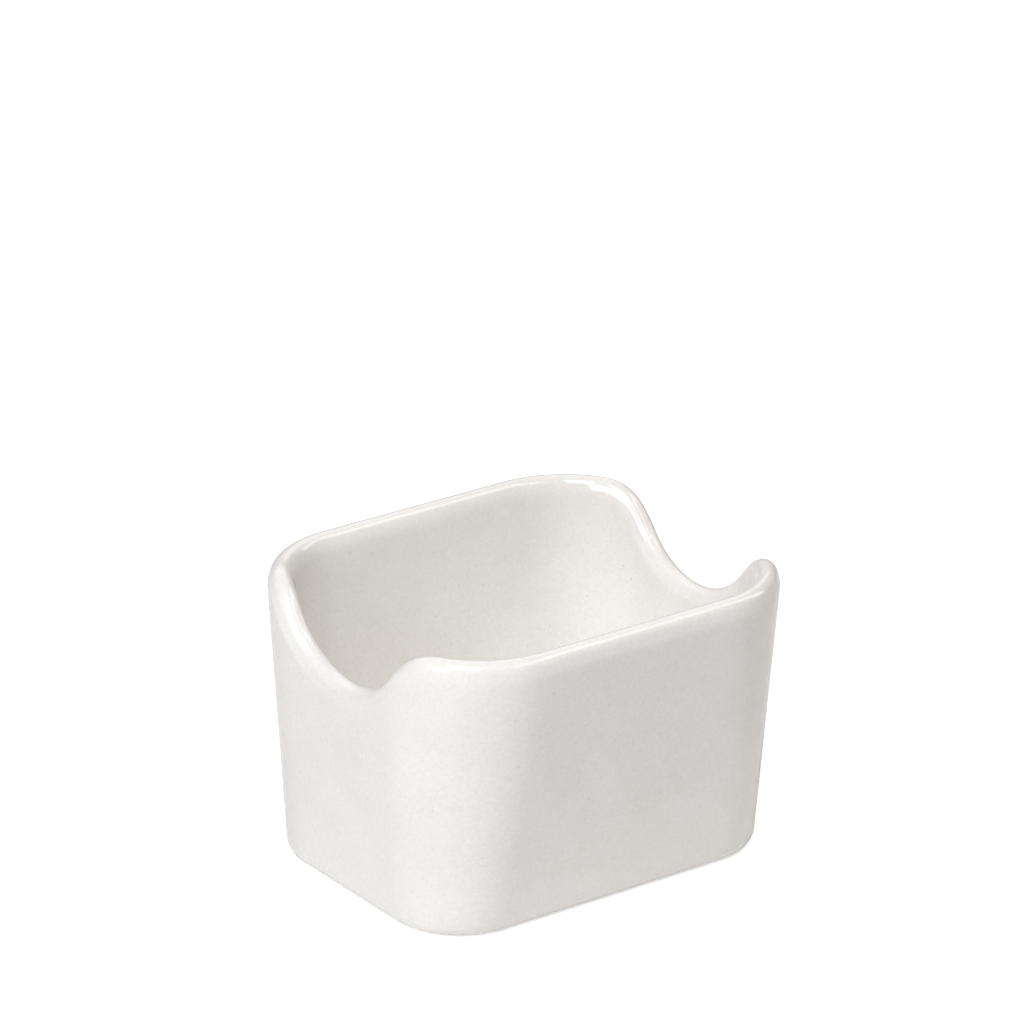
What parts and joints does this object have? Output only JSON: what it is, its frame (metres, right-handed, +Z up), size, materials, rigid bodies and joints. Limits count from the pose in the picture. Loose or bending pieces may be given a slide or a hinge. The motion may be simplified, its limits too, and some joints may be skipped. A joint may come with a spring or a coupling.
{
  "type": "sugar packet holder",
  "caption": "Open porcelain box with rounded corners, a round rim and a finger dip in each end wall, for keeping sugar packets upright on a table.",
  "frame": {"origin": "centre of the footprint, on the table", "axes": "+Z up, +X along the long walls towards one end wall with its finger dip, +Y across the box"},
  "size_m": [0.095, 0.0808, 0.063],
  "materials": {
    "biscuit": "matte",
    "glaze": "gloss"
  },
  "bodies": {
    "root": {"porcelain_body": "biscuit", "glaze_coat": "glaze", "underside_glaze": "glaze"}
  },
  "joints": []
}
